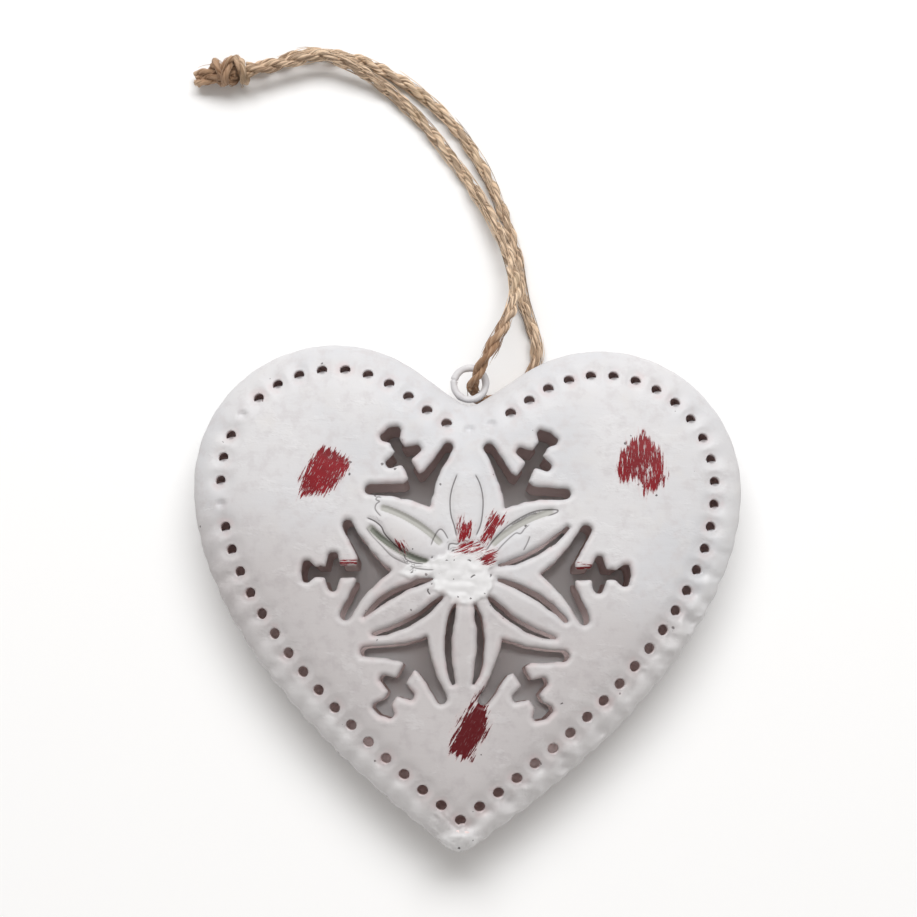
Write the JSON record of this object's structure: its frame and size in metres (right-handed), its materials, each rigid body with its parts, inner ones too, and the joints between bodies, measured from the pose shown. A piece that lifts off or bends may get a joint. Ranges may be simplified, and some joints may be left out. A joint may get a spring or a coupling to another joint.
{
  "type": "hanging heart ornament",
  "caption": "Puffed hanging heart of stamped sheet metal, painted white over red, pierced with a snowflake and punched round the rim, with a wire ring and a tied loop of jute twine.",
  "frame": {"origin": "Centre of the heart's width and height, on the surface that its flat back lies on; the twine is left out of that measure.", "axes": "+X to the heart's right as seen from the front, +Y from its tip towards the notch and ring, +Z from the back to the front."},
  "size_m": [0.0942, 0.1359, 0.015],
  "materials": {
    "white_paint": "thick chalky white paint, rubbed through to red in patches",
    "ring_paint": "white paint over wire",
    "jute": "natural twisted jute"
  },
  "bodies": {
    "root": {"front_shell": "white_paint", "back_shell": "white_paint", "hanging_ring": "ring_paint", "twine": "jute", "twine_knot": "jute"}
  },
  "joints": []
}
